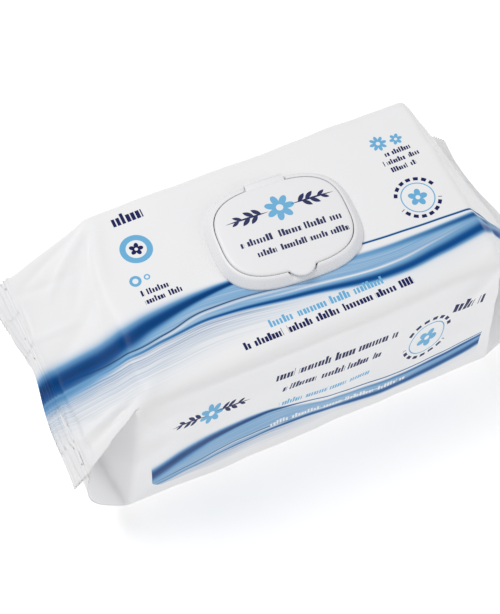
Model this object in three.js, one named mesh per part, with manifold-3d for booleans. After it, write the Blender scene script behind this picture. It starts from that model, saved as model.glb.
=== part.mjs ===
// A wet wipes pack: a gusseted film bag round a stack of folded moist wipes, with a flip-top dispensing lid.
// Millimetres, +Z up, +X along the pack, -Y the printed front, origin in the middle of the flat underside.
import * as THREE from "three";
import { ConvexGeometry } from "three/addons/geometries/ConvexGeometry.js";
import { mergeVertices } from "three/addons/utils/BufferGeometryUtils.js";
import Module from "manifold-3d";

const wasm = await Module();
wasm.setup();

// The film bag
const BODY_LENGTH = 210; // along the bottom edge
const BODY_WIDTH = 108;
const BODY_HEIGHT = 110;
const TOP_SETBACK = 14; // how far each end's top crease lies in from the bottom one
const TOP_EDGE_RADIUS = 9;
const BOTTOM_EDGE_RADIUS = 4;
const CREASE_RADIUS = 7;
const END_REACH = 16; // how far each end seal's root lies out past the bottom edge
const SEAL_HEIGHT = 70; // of the end seal's root above the ground
const SEAL_WIDTH = 15;
const SEAL_DROOP = THREE.MathUtils.degToRad(50);
const SEAL_THICKNESS = 1.2;
const SEAL_OVERLAP = 3; // length of seal that runs back into the end
const BELLY_HEIGHT = 32; // where each bottom flap turns from leaning out to upright
const BELLY_RADIUS = 24;
const SEAL_ROOT_RADIUS = 1;
const GUSSET_DEPTH = 38;
const GUSSET_WALL = 1.6;

// The flip-top, off the middle of the top and slightly turned, as it is on the pack
const LID_CENTRE_X = 7;
const LID_CENTRE_Y = 5;
const LID_TURN = THREE.MathUtils.degToRad(-4); // seen from above
const FRAME_LENGTH = 75;
const FRAME_DEPTH = 59;
const CORNER_EXPONENT = 3; // of the superellipse that gives the outline
const OUTLINE_SEGMENTS = 72;
const GLUE_GAP = 0.3;
const SEAT_GAP = 0.3;
const SEAM_GAP = 0.4;

// The frame's section, heights from its own underside
const FRAME_EDGE = 1;
const BORDER_WIDTH = 4.4;
const BORDER_HEIGHT = 5.2;
const FLOOR_THICKNESS = 1.8;
const FLOOR_WIDTH = 5;
const RIM_THICKNESS = 1.2;
const RIM_HEIGHT = 3.6;

// The lid's section
const LID_CROWN = 6.6; // top of the dome over the frame's underside
const LID_EDGE_CHAMFER = 0.8;
const LID_WALL = 1.2;
const UNDERSIDE = 5.3;
const RIM_HEADROOM = 0.7;
const PLUG_THICKNESS = 1;
const PLUG_BOTTOM = 2;
const DOME_STEPS = 6;

// The finger tab, the catch and the hinge
const DISC_SEGMENTS = 40;
const TAB_RADIUS = 7.5;
const TAB_THICKNESS = 1.6;
const TAB_SETBACK = 0.4; // from the frame's front edge
const SCOOP_CLEARANCE = 2.2;
const CATCH_WIDTH = 12;
const CATCH_THICKNESS = 1.2;
const CATCH_HEIGHT = 1.6;
const HINGE_WIDTH = 20;
const HINGE_LINE_SETBACK = 1.6; // hinge axis in from the frame's back edge
const HINGE_THICKNESS = 1.2;
const HINGE_SIDE_GAP = 0.4;
const HINGE_WEB_GAP = 0.3;
const HINGE_STEP = 0.2; // how far the frame's leaf stays below the axis

// The peel-off label under the lid
const LABEL_CLEARANCE = 4;
const LABEL_THICKNESS = 0.3;
const PULL_WIDTH = 12;
const PULL_LENGTH = 2.5;
const PULL_CORNER = 2;

// Sizes that follow
const halfWidth = BODY_WIDTH / 2;
const creaseX = BODY_LENGTH / 2 - TOP_SETBACK;
const rootX = BODY_LENGTH / 2 + END_REACH;
const halfFrame = FRAME_LENGTH / 2;
const halfDepth = FRAME_DEPTH / 2;
const lidInset = BORDER_WIDTH + SEAM_GAP;
const rimOuterInset = BORDER_WIDTH + FLOOR_WIDTH;
const rimInnerInset = rimOuterInset + RIM_THICKNESS;
const plugInset = rimInnerInset + SEAM_GAP;
const skirtBottom = FLOOR_THICKNESS + SEAT_GAP;
const hingeY = halfDepth - HINGE_LINE_SETBACK;
const hingeZ = BORDER_HEIGHT - HINGE_STEP;

// Turns a geometry into a manifold-3d solid, without the flat triangles that lie on an axis.
function solid(geometry) {
  const bare = new THREE.BufferGeometry().setAttribute("position", geometry.getAttribute("position"));
  const merged = mergeVertices(bare.setIndex(geometry.index), 1e-4);
  const corners = [];
  for (let i = 0; i < merged.index.count; i += 3) {
    const [a, b, c] = merged.index.array.slice(i, i + 3);
    if (a !== b && b !== c && c !== a) corners.push(a, b, c);
  }
  const vertProperties = merged.getAttribute("position").array;
  return new wasm.Manifold(new wasm.Mesh({ numProp: 3, vertProperties, triVerts: new Uint32Array(corners) }));
}

function mesh(name, body, material) {
  const { numProp, vertProperties, triVerts } = body.getMesh();
  const geometry = new THREE.BufferGeometry()
    .setAttribute("position", new THREE.BufferAttribute(vertProperties.slice(), numProp))
    .setIndex(new THREE.BufferAttribute(triVerts.slice(), 1));
  geometry.computeVertexNormals();
  const made = new THREE.Mesh(geometry, material);
  made.name = name;
  return made;
}

function box(width, depth, height, x, y, z) {
  return solid(new THREE.BoxGeometry(width, depth, height).translate(x, y, z + height / 2));
}

// A closed outline through corner points, each corner rounded by its own radius.
function rounded(corners) {
  const shape = new THREE.Shape();
  corners.forEach(([x, y, radius], i) => {
    const here = new THREE.Vector2(x, y);
    const [before, after] = [corners.at(i - 1), corners[(i + 1) % corners.length]].map(([u, v]) => {
      const away = new THREE.Vector2(u, v).sub(here);
      return away.setLength(Math.min(radius, away.length() / 2)).add(here);
    });
    if (i === 0) shape.moveTo(before.x, before.y);
    else shape.lineTo(before.x, before.y);
    shape.quadraticCurveTo(x, y, after.x, after.y);
  });
  shape.closePath();
  return shape;
}

// Extrudes an outline drawn in X and Z along Y, centred on the middle of the pack.
function alongY(shape, length) {
  const geometry = new THREE.ExtrudeGeometry(shape, { depth: length, bevelEnabled: false, curveSegments: 6 });
  return solid(geometry.rotateX(Math.PI / 2).translate(0, length / 2, 0));
}

// Extrudes an outline drawn in Y and Z along X, centred on the middle of the pack.
function alongX(shape, length) {
  const geometry = new THREE.ExtrudeGeometry(shape, { depth: length, bevelEnabled: false, curveSegments: 6 });
  const turn = new THREE.Matrix4().makeBasis(
    new THREE.Vector3(0, 1, 0),
    new THREE.Vector3(0, 0, 1),
    new THREE.Vector3(1, 0, 0),
  );
  return solid(geometry.translate(0, 0, -length / 2).applyMatrix4(turn));
}

// The flat crimped seal that hangs from one end.
function endSeal(side) {
  const along = new THREE.Vector2(side * Math.cos(SEAL_DROOP), -Math.sin(SEAL_DROOP));
  const across = new THREE.Vector2(-along.y, along.x).multiplyScalar(SEAL_THICKNESS / 2);
  const start = new THREE.Vector2(side * rootX, SEAL_HEIGHT).addScaledVector(along, -SEAL_OVERLAP);
  const tip = new THREE.Vector2(side * rootX, SEAL_HEIGHT).addScaledVector(along, SEAL_WIDTH);
  const upper = [tip.clone().add(across), start.clone().add(across)];
  const lower = [start.sub(across), tip.sub(across)];
  return alongY(new THREE.Shape([...lower, ...upper]), BODY_WIDTH);
}

// The tuck where a side panel folds in between the top and bottom flaps of one end.
function gusset(side, face) {
  const outside = face * (halfWidth + 1);
  const top = new THREE.Vector3(side * (creaseX + GUSSET_WALL), outside, BODY_HEIGHT - TOP_EDGE_RADIUS);
  const bottom = new THREE.Vector3(side * (BODY_LENGTH / 2), outside, BOTTOM_EDGE_RADIUS);
  const mouth = new THREE.Vector3(side * (rootX - 2 * GUSSET_WALL), outside, SEAL_HEIGHT - GUSSET_WALL);
  const depth = new THREE.Vector3(mouth.x, face * (halfWidth - GUSSET_DEPTH), mouth.z);
  return solid(new ConvexGeometry([top, bottom, mouth, depth]));
}

function filmPack() {
  const profile = [
    [BODY_LENGTH / 2, 0, BOTTOM_EDGE_RADIUS],
    [rootX, BELLY_HEIGHT, BELLY_RADIUS],
    [rootX, SEAL_HEIGHT, SEAL_ROOT_RADIUS],
    [creaseX, BODY_HEIGHT, CREASE_RADIUS],
  ];
  const mirrored = profile.map(([x, z, radius]) => [-x, z, radius]).reverse();
  const section = [
    [-halfWidth, 0, BOTTOM_EDGE_RADIUS],
    [halfWidth, 0, BOTTOM_EDGE_RADIUS],
    [halfWidth, BODY_HEIGHT, TOP_EDGE_RADIUS],
    [-halfWidth, BODY_HEIGHT, TOP_EDGE_RADIUS],
  ];
  let bag = alongY(rounded([...profile, ...mirrored]), BODY_WIDTH + 2);
  bag = bag.intersect(alongX(rounded(section), 2 * (rootX + SEAL_WIDTH)));
  for (const side of [-1, 1]) {
    for (const face of [-1, 1]) bag = bag.subtract(gusset(side, face));
    bag = bag.add(endSeal(side));
  }
  return bag;
}

// Sweeps a section of [inset from the frame's edge, height] pairs round the frame's outline: a turned body
// whose circles are squared into superellipses, each a nearly even distance inside the frame's edge.
function swept(section) {
  const points = section.map(([inset, z]) => new THREE.Vector2(halfFrame - inset, z));
  const geometry = new THREE.LatheGeometry(points, OUTLINE_SEGMENTS).rotateX(Math.PI / 2);
  const position = geometry.getAttribute("position");
  const squared = (value) => Math.sign(value) * Math.abs(value) ** (2 / CORNER_EXPONENT);
  for (let i = 0; i < position.count; i++) {
    const radius = Math.hypot(position.getX(i), position.getY(i));
    const angle = Math.atan2(position.getY(i), position.getX(i));
    const depth = halfDepth * (radius / halfFrame) ** (halfFrame / halfDepth);
    position.setXY(i, radius * squared(Math.cos(angle)), depth * squared(Math.sin(angle)));
  }
  return solid(geometry);
}

// A disc at the front of the flip-top, round the finger tab's own centre.
function frontDisc(radius, thickness, z) {
  const y = -halfDepth + TAB_SETBACK + TAB_RADIUS;
  const disc = new THREE.CylinderGeometry(radius, radius, thickness, DISC_SEGMENTS).rotateX(Math.PI / 2);
  return solid(disc.translate(0, y, z + thickness / 2));
}

// All that lies within an inset of the frame's front edge, as a box.
function frontZone(inset) {
  return box(FRAME_LENGTH, halfDepth, 2 * BORDER_HEIGHT, 0, inset - 1.5 * halfDepth, 0);
}

// The moulded frame glued to the film: flange, sloped border, recess and the rim of the dispensing opening.
function lidBase() {
  const section = [
    [rimInnerInset, 0],
    [0, 0],
    [0, FRAME_EDGE],
    [BORDER_WIDTH - LID_EDGE_CHAMFER, BORDER_HEIGHT],
    [BORDER_WIDTH, BORDER_HEIGHT],
    [BORDER_WIDTH, FLOOR_THICKNESS],
    [rimOuterInset, FLOOR_THICKNESS],
    [rimOuterInset, RIM_HEIGHT],
    [rimInnerInset, RIM_HEIGHT],
    [rimInnerInset, 0],
  ];
  let frame = swept(section);
  const scoop = frontDisc(TAB_RADIUS + SCOOP_CLEARANCE, BORDER_HEIGHT, FRAME_EDGE);
  frame = frame.subtract(scoop.intersect(frontZone(lidInset)));
  const notch = HINGE_WIDTH + 2 * HINGE_SIDE_GAP;
  const notchDepth = BORDER_WIDTH + HINGE_LINE_SETBACK;
  const notchY = halfDepth - notchDepth / 2 + 1;
  frame = frame.subtract(box(notch, notchDepth, BORDER_HEIGHT, 0, notchY, FLOOR_THICKNESS));
  const leafY = hingeY + HINGE_WEB_GAP / 2 + HINGE_THICKNESS / 2;
  const leaf = box(HINGE_WIDTH, HINGE_THICKNESS, hingeZ - HINGE_STEP, 0, leafY, 0);
  const catchY = -halfDepth + lidInset + LID_WALL + SEAM_GAP + CATCH_THICKNESS / 2;
  const catchBar = box(CATCH_WIDTH, CATCH_THICKNESS, FLOOR_THICKNESS + CATCH_HEIGHT, 0, catchY, 0);
  return frame.add(leaf).add(catchBar);
}

// The hinged lid: a low dome with a skirt, a sealing plug inside the rim, a finger tab and a hinge leaf.
function flipLid() {
  const shoulder = BORDER_HEIGHT + LID_EDGE_CHAMFER / 2;
  const dome = [];
  for (let i = 0; i <= DOME_STEPS; i++) {
    const turn = (i / DOME_STEPS) * (Math.PI / 2);
    const inset = halfFrame - (halfFrame - lidInset - LID_EDGE_CHAMFER) * Math.cos(turn);
    dome.push([inset, shoulder + (LID_CROWN - shoulder) * Math.sin(turn)]);
  }
  dome[DOME_STEPS][0] = halfFrame;
  const section = [
    [halfFrame, UNDERSIDE],
    [plugInset + PLUG_THICKNESS, UNDERSIDE],
    [plugInset + PLUG_THICKNESS, PLUG_BOTTOM],
    [plugInset, PLUG_BOTTOM],
    [plugInset, RIM_HEIGHT + RIM_HEADROOM],
    [lidInset + LID_WALL, RIM_HEIGHT + RIM_HEADROOM],
    [lidInset + LID_WALL, skirtBottom],
    [lidInset, skirtBottom],
    [lidInset, BORDER_HEIGHT],
    ...dome,
  ];
  const tab = frontDisc(TAB_RADIUS, TAB_THICKNESS, shoulder - TAB_THICKNESS);
  const leafStart = halfDepth - lidInset - LID_WALL;
  const leafDepth = hingeY - HINGE_WEB_GAP / 2 - leafStart;
  const leafBottom = hingeZ + HINGE_STEP - HINGE_THICKNESS;
  const leaf = box(HINGE_WIDTH, leafDepth, HINGE_THICKNESS, 0, leafStart + leafDepth / 2, leafBottom);
  return swept(section).add(tab.intersect(frontZone(lidInset + LID_WALL))).add(leaf);
}

// The label that closes the cut in the film until first use, with a pull at its front.
function peelLabel() {
  const inset = rimInnerInset + LABEL_CLEARANCE;
  const sheet = swept([
    [halfFrame, 0],
    [inset, 0],
    [inset, LABEL_THICKNESS],
    [halfFrame, LABEL_THICKNESS],
  ]);
  const edge = halfDepth * ((halfFrame - inset) / halfFrame) ** (halfFrame / halfDepth);
  const pull = rounded([
    [-PULL_WIDTH / 2, -edge - PULL_LENGTH, PULL_CORNER],
    [PULL_WIDTH / 2, -edge - PULL_LENGTH, PULL_CORNER],
    [PULL_WIDTH / 2, 1 - edge, 0],
    [-PULL_WIDTH / 2, 1 - edge, 0],
  ]);
  const thickness = { depth: LABEL_THICKNESS, bevelEnabled: false, curveSegments: 4 };
  return sheet.add(solid(new THREE.ExtrudeGeometry(pull, thickness)));
}

const film = new THREE.MeshStandardMaterial({ color: 0xf1f3f6, roughness: 0.38, metalness: 0 });
const moulding = new THREE.MeshStandardMaterial({ color: 0xf4f5f7, roughness: 0.3, metalness: 0 });
const lidPlastic = new THREE.MeshStandardMaterial({ color: 0xf6f7f9, roughness: 0.28, metalness: 0 });
const label = new THREE.MeshStandardMaterial({ color: 0xc9dcef, roughness: 0.35, metalness: 0 });

const flipTop = new THREE.Group();
flipTop.position.set(LID_CENTRE_X, LID_CENTRE_Y, BODY_HEIGHT + GLUE_GAP);
flipTop.rotation.z = LID_TURN;
flipTop.add(
  mesh("lid_base", lidBase(), moulding),
  mesh("flip_lid", flipLid(), lidPlastic),
  mesh("peel_label", peelLabel(), label),
);

const pack = new THREE.Group();
pack.add(mesh("film_pack", filmPack(), film), flipTop);

export default pack;
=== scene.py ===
"""A wet wipes pack: the looks of its film wrap, its flip-top and the studio round it."""
import math

import bmesh
import bpy
from mathutils import Matrix, Vector, noise


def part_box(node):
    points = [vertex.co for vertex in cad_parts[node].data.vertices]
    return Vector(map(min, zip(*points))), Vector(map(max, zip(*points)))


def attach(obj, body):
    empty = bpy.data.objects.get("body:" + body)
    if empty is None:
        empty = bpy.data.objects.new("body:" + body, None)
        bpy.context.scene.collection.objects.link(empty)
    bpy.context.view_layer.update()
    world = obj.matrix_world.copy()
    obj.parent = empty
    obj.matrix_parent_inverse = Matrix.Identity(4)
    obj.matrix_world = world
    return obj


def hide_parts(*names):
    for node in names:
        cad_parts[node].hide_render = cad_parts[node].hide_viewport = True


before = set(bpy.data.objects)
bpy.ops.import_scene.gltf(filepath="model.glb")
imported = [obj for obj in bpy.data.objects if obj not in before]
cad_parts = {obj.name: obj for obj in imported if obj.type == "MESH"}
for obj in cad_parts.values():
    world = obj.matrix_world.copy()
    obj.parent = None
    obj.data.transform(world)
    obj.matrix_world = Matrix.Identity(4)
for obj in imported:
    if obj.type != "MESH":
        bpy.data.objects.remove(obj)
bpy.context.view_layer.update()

bl_info = {
    "name": "Wet Wipes Pack",
    "version": (1, 0, 0),
    "blender": (4, 5, 0),
    "location": "View3D > Sidebar > Wipes Pack",
    "description": "Models a gusseted film pack of wipes with a flip-top lid",
    "category": "Object",
}

MM = 0.001

# The film body, in millimetres, from the frame
BAG_LOW, BAG_HIGH = (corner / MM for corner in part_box("film_pack"))
WIDTH = BAG_HIGH.y - BAG_LOW.y
HEIGHT = BAG_HIGH.z
HALF = WIDTH / 2
BOTTOM_X = 105.0
RIGHT_CREASE_X = 96.5
LEFT_CREASE_X = 85.0
LEFT_CREASE_SKEW = 6.5
ROOT_X = 121.0
ROOT_Z = 70.0
LEFT_ROOT_SKEW = 8.0
RIGHT_ROOT_SKEW = -10.0
TUCK = 38.0
TUCK_SETBACK = 3.0
TUCK_DROP = 2.5
BELLY = 10.0
TOP_EDGE_RADIUS = 9.0
BOTTOM_EDGE_RADIUS = 4.0
FLAP_LENGTH = math.hypot(ROOT_X - RIGHT_CREASE_X, HEIGHT - ROOT_Z)
SEAL_WIDTH = 15.0
SEAL_HALF_THICKNESS = 0.3
CRIMP_PITCH = 2.4
LEFT_DROOP = math.radians(50)
RIGHT_DROOP = math.radians(50)
LEFT_DROOP_SWELL = 0.2

# Places round the film, counted from the middle of the underside up the front
FRONT_TOP, BACK_TOP = HALF + HEIGHT, HALF + HEIGHT + WIDTH
AROUND = 2 * (WIDTH + HEIGHT)

# How the film is softened and wrinkled
SOFT_ROUNDS = 2
SOFTER_ROUNDS = 8
FOLD_STRENGTH = 1.35
SLACK_LIFT = 0.3
SLACK_WIDE = 1.1
SLACK_FINE = 0.28
CALM_HALF_LENGTH, CALM_HALF_DEPTH = 46, 38
UNDERSIDE_LIFT = -0.4
FIN_LOW, FIN_HIGH = -216, -204
CRIMP_BREAK = 36

# How the print on the front panel lies
FRONT_PRINT_LEAN = 0.12
FRONT_PRINT_FALL = 0.08
FRONT_PRINT_STRETCH = 1.6

# The flip-top's outline and levels, in millimetres, from the frame
FRAME_LOW, FRAME_HIGH = (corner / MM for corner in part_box("lid_base"))
LID_CENTRE = Vector(((FRAME_LOW.x + FRAME_HIGH.x) / 2, (FRAME_LOW.y + FRAME_HIGH.y) / 2, HEIGHT))
LID_TURN = math.radians(-4)
HALF_LENGTH = 37.5
HALF_DEPTH = 29.5
FRAME_FOOT = 0.05
CORNER_POWER = 3.0
BORDER = 4.4
BORDER_TOP = 5.5
RECESS_FLOOR = 2.1
RIM_INSET = BORDER + 5.0
RIM_THICKNESS = 1.2
RIM_TOP = 3.9
SEAM = 0.4
LID_UNDERSIDE = 5.6
LID_SKIRT_FOOT = 2.4
LID_CROWN = 6.9
LID_PRINT_FLOOR = 5.8
TAB_RADIUS = 7.5
TAB_SETBACK = 0.4
SCOOP_RADIUS = 8.6
SCOOP_FLOOR = 3.4
HINGE_HALF = 10.0
PULL_TAB_HALF = 6
PULL_TAB_REACH = 2.4

# The camera that the photograph was taken with
CAMERA_AZIMUTH = math.radians(-27.2)
CAMERA_ELEVATION = math.radians(60.92)
CAMERA_ROLL = math.radians(2.63)
CAMERA_DISTANCE = 874.6
CAMERA_SLIDE = (-9.52, 23.07)
FOCAL_PIXELS = 1608.5
PICTURE_WIDTH, PICTURE_HEIGHT = 500, 614
SENSOR = 36.0

# The lights, in metres
KEY_PLACE, KEY_SIZE = (-0.45, 0.4, 1.1), (0.5, 0.5)
FILL_PLACE, FILL_SIZE = (0.9, -0.9, 0.8), (0.8, 0.8)
FILL_SHARE = 0.6
FLOOR_GLOW = 0.32


class WrapSettings(bpy.types.PropertyGroup):
    """The film wrap."""
    film: bpy.props.FloatVectorProperty(
        name="Film", description="Colour of the bare film", subtype="COLOR", default=(0.885, 0.885, 0.895))
    band_deep: bpy.props.FloatVectorProperty(
        name="Deep blue", description="Darkest blue of the band", subtype="COLOR", default=(0.0, 0.07, 0.27))
    band_pale: bpy.props.FloatVectorProperty(
        name="Pale blue", description="Palest blue of the band", subtype="COLOR", default=(0.165, 0.39, 0.65))
    ink_navy: bpy.props.FloatVectorProperty(
        name="Navy ink", description="Dark printing ink", subtype="COLOR", default=(0.012, 0.017, 0.1))
    ink_sky: bpy.props.FloatVectorProperty(
        name="Sky ink", description="Light printing ink", subtype="COLOR", default=(0.16, 0.45, 0.72))
    crimp: bpy.props.FloatProperty(
        name="Crimp depth", description="Height of the end seals' ridges", unit="LENGTH", precision=5,
        default=0.00075)
    crumple: bpy.props.FloatProperty(
        name="Crumple", description="How strongly the film is wrinkled", subtype="FACTOR", default=1.0)


class MouldingSettings(bpy.types.PropertyGroup):
    """The flip-top's mouldings."""
    plastic: bpy.props.FloatVectorProperty(
        name="Plastic", description="Colour of the lid and its frame", subtype="COLOR",
        default=(0.865, 0.865, 0.88))
    label: bpy.props.FloatVectorProperty(
        name="Label", description="Colour of the label under the lid", subtype="COLOR",
        default=(0.5, 0.68, 0.85))


class StageSettings(bpy.types.PropertyGroup):
    """The studio."""
    key_power: bpy.props.FloatProperty(
        name="Key light", description="Power of the large soft light", subtype="POWER", default=5.6)
    sky: bpy.props.FloatProperty(
        name="Sky", description="Strength of the even light from all round", default=0.54)


class Wire:
    """A number in a node tree that plain arithmetic joins to others."""

    def __init__(self, tree, socket):
        self.tree = tree
        self.socket = socket

    def sum(self, operation, *others):
        node = self.tree.nodes.new("ShaderNodeMath")
        node.operation = operation
        for slot, value in zip(node.inputs, (self, *others)):
            join(self.tree, value, slot)
        return Wire(self.tree, node.outputs[0])

    def __add__(self, other):
        return self.sum("ADD", other)

    def __sub__(self, other):
        return self.sum("SUBTRACT", other)

    def __mul__(self, other):
        return self.sum("MULTIPLY", other)

    def __truediv__(self, other):
        return self.sum("DIVIDE", other)

    def __pow__(self, other):
        return self.sum("POWER", other)

    def __gt__(self, other):
        return self.sum("GREATER_THAN", other)

    def __lt__(self, other):
        return self.sum("LESS_THAN", other)

    def size(self):
        return self.sum("ABSOLUTE")

    def flip(self):
        """One minus the number."""
        return self.sum("MULTIPLY_ADD", -1.0, 1.0)

    def ease(self, low, high):
        """Goes smoothly from 0 at low to 1 at high."""
        node = self.tree.nodes.new("ShaderNodeMapRange")
        node.interpolation_type = "SMOOTHSTEP"
        join(self.tree, self, node.inputs["Value"])
        join(self.tree, low, node.inputs["From Min"])
        join(self.tree, high, node.inputs["From Max"])
        return Wire(self.tree, node.outputs["Result"])

    def glow(self, width):
        """1 at zero, fading out both ways over about a width."""
        return ((self / width) ** 2.0 * -1.0).sum("EXPONENT")


def join(tree, value, slot):
    """Sets a socket from a wire, a socket or a plain value."""
    if isinstance(value, Wire):
        tree.links.new(value.socket, slot)
    elif isinstance(value, bpy.types.NodeSocket):
        tree.links.new(value, slot)
    else:
        slot.default_value = value


def colour(value):
    return (*value, 1.0)


def mixed(tree, factor, under, over):
    """The colour under, painted over by another where the factor is 1."""
    node = tree.nodes.new("ShaderNodeMix")
    node.data_type = "RGBA"
    join(tree, factor, node.inputs[0])
    join(tree, under, node.inputs[6])
    join(tree, over, node.inputs[7])
    return node.outputs[2]


def group(name, takes, gives):
    """An empty node group with named sockets, its tree and its inputs as wires."""
    tree = bpy.data.node_groups.new(name, "ShaderNodeTree")
    for label, kind in takes:
        tree.interface.new_socket(label, in_out="INPUT", socket_type=kind)
    for label, kind in gives:
        tree.interface.new_socket(label, in_out="OUTPUT", socket_type=kind)
    inside = tree.nodes.new("NodeGroupInput")
    outside = tree.nodes.new("NodeGroupOutput")
    return tree, {socket.name: Wire(tree, socket) for socket in inside.outputs if socket.name}, outside


def use(tree, name, **values):
    """Places a node group and gives its outputs by name."""
    node = tree.nodes.new("ShaderNodeGroup")
    node.node_tree = bpy.data.node_groups[name]
    for label, value in values.items():
        join(tree, value, node.inputs[label.replace("_", " ")])
    return {socket.name: socket for socket in node.outputs}


NUMBER, COLOUR, ARROW = "NodeSocketFloat", "NodeSocketColor", "NodeSocketVector"


def traced(tree, x, points, reach=160.0, depth=170.0):
    """A height that follows a smooth curve through a few points along the pack, in millimetres."""
    node = tree.nodes.new("ShaderNodeFloatCurve")
    curve = node.mapping.curves[0]
    ready = [((px + reach) / (2 * reach), -py / depth + 0.1) for px, py in points]
    while len(curve.points) < len(ready):
        curve.points.new(0.5, 0.5)
    for point, (px, py) in zip(curve.points, ready):
        point.location = (px, py)
    node.mapping.update()
    join(tree, (x + reach) / (2 * reach), node.inputs["Value"])
    return (Wire(tree, node.outputs[0]) - 0.1) * -depth


def make_word_line_group():
    """A row of short strokes in word-like runs, which stands where a pack has small print."""
    takes = [(n, NUMBER) for n in ("X", "Y", "Start", "Base", "Length", "Height")]
    tree, wire, out = group("Word line", takes, [("Mask", NUMBER)])
    along = wire["X"] - wire["Start"]
    up = (wire["Y"] - wire["Base"]) / wire["Height"]
    place = along / (wire["Height"] * 0.34 + 0.35)
    chance = []
    for shift in (0.5, 40.5):
        node = tree.nodes.new("ShaderNodeTexWhiteNoise")
        node.noise_dimensions = "1D"
        join(tree, place.sum("FLOOR") + wire["Base"] + shift, node.inputs["W"])
        chance.append(Wire(tree, node.outputs["Value"]))
    run = (place / 8.7 + wire["Base"] * 0.37 + (place * 0.31).sum("SINE") * 0.1).sum("FRACT") < 0.86
    tall = (chance[0] > 0.7) * 0.3 + 0.7
    stroke = place.sum("FRACT") < (chance[1] * 0.25 + 0.58)
    mask = stroke * run * (up > 0.0) * (up < tall) * (along > 0.0) * (along < wire["Length"])
    join(tree, mask, out.inputs["Mask"])


def make_ring_group():
    """A ring that is plain or, with a number of dashes, broken into that many."""
    takes = [(n, NUMBER) for n in ("X", "Y", "Centre X", "Centre Y", "Radius", "Width", "Dashes")]
    tree, wire, out = group("Ring", takes, [("Mask", NUMBER)])
    dx, dy = wire["X"] - wire["Centre X"], wire["Y"] - wire["Centre Y"]
    far = (dx ** 2.0 + dy ** 2.0).sum("SQRT")
    turn = dy.sum("ARCTAN2", dx)
    broken = ((turn * wire["Dashes"]).sum("SINE") > -0.35) * (turn.sum("SINE").size() > 0.35)
    plain = wire["Dashes"] < 0.5
    near = (far - wire["Radius"]).size() < wire["Width"] * 0.5
    join(tree, near * plain.sum("MAXIMUM", broken), out.inputs["Mask"])


def make_petal_group():
    """A round flower of even petals about an open middle."""
    takes = [(n, NUMBER) for n in ("X", "Y", "Centre X", "Centre Y", "Radius", "Petals")]
    tree, wire, out = group("Petals", takes, [("Mask", NUMBER)])
    dx, dy = wire["X"] - wire["Centre X"], wire["Y"] - wire["Centre Y"]
    far = (dx ** 2.0 + dy ** 2.0).sum("SQRT") / wire["Radius"]
    turn = dy.sum("ARCTAN2", dx) * wire["Petals"] * 0.5
    edge = turn.sum("COSINE").size() * 0.5 + 0.5
    join(tree, (far < edge) * (far > 0.24), out.inputs["Mask"])


def make_leaf_group():
    """A pointed leaf: its length runs both ways from its centre along its angle."""
    takes = [(n, NUMBER) for n in ("X", "Y", "Centre X", "Centre Y", "Angle", "Length", "Width")]
    tree, wire, out = group("Leaf", takes, [("Mask", NUMBER)])
    dx, dy = wire["X"] - wire["Centre X"], wire["Y"] - wire["Centre Y"]
    c, s = wire["Angle"].sum("COSINE"), wire["Angle"].sum("SINE")
    along = (dx * c + dy * s) / wire["Length"]
    across = (dy * c - dx * s).size() / wire["Width"]
    join(tree, across < (along ** 2.0).flip(), out.inputs["Mask"])


def sprig(tree, x, y, cx, cy, reach, face):
    """Masks of a stem with leaves on both sides. Face is 1 to point it right and -1 to point it left."""
    marks = []
    tip = 0.0 if face > 0 else math.pi
    leaves = (
        (0.0, 0.0, 0.0, 1.0, 0.045),
        (-0.45, 0.16, 0.75, 0.26, 0.1),
        (-0.1, 0.17, 0.65, 0.26, 0.1),
        (-0.28, -0.16, -0.75, 0.26, 0.1),
        (0.08, -0.15, -0.65, 0.26, 0.1),
        (0.42, 0.12, 0.5, 0.22, 0.08),
        (0.55, -0.1, -0.45, 0.2, 0.075),
    )
    for along, up, lean, length, width in leaves:
        made = use(tree, "Leaf", X=x, Y=y, Centre_X=cx + face * along * reach, Centre_Y=cy + up * reach,
                   Angle=tip + face * lean, Length=length * reach, Width=width * reach)
        marks.append(Wire(tree, made["Mask"]))
    return marks


def make_strand_group():
    """A soft line along a curve, which fades out over one width above it and another below."""
    takes = [(n, NUMBER) for n in ("Y", "Line", "Above", "Below", "Strength")]
    tree, wire, out = group("Strand", takes, [("Mask", NUMBER)])
    off = wire["Y"] - wire["Line"]
    width = wire["Below"] + (wire["Above"] - wire["Below"]) * (off > 0.0)
    join(tree, off.glow(width) * wire["Strength"], out.inputs["Mask"])


def inked(tree, amount, under, pale, deep):
    """Ink laid on thin as a pale tint and thick as a deep one."""
    return mixed(tree, amount.ease(0.3, 1.0), mixed(tree, amount.ease(0.0, 0.55), under, pale), deep)


def strand(tree, y, line, above, below, strength):
    made = use(tree, "Strand", Y=y, Line=line, Above=above, Below=below, Strength=strength)
    return Wire(tree, made["Mask"])


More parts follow.
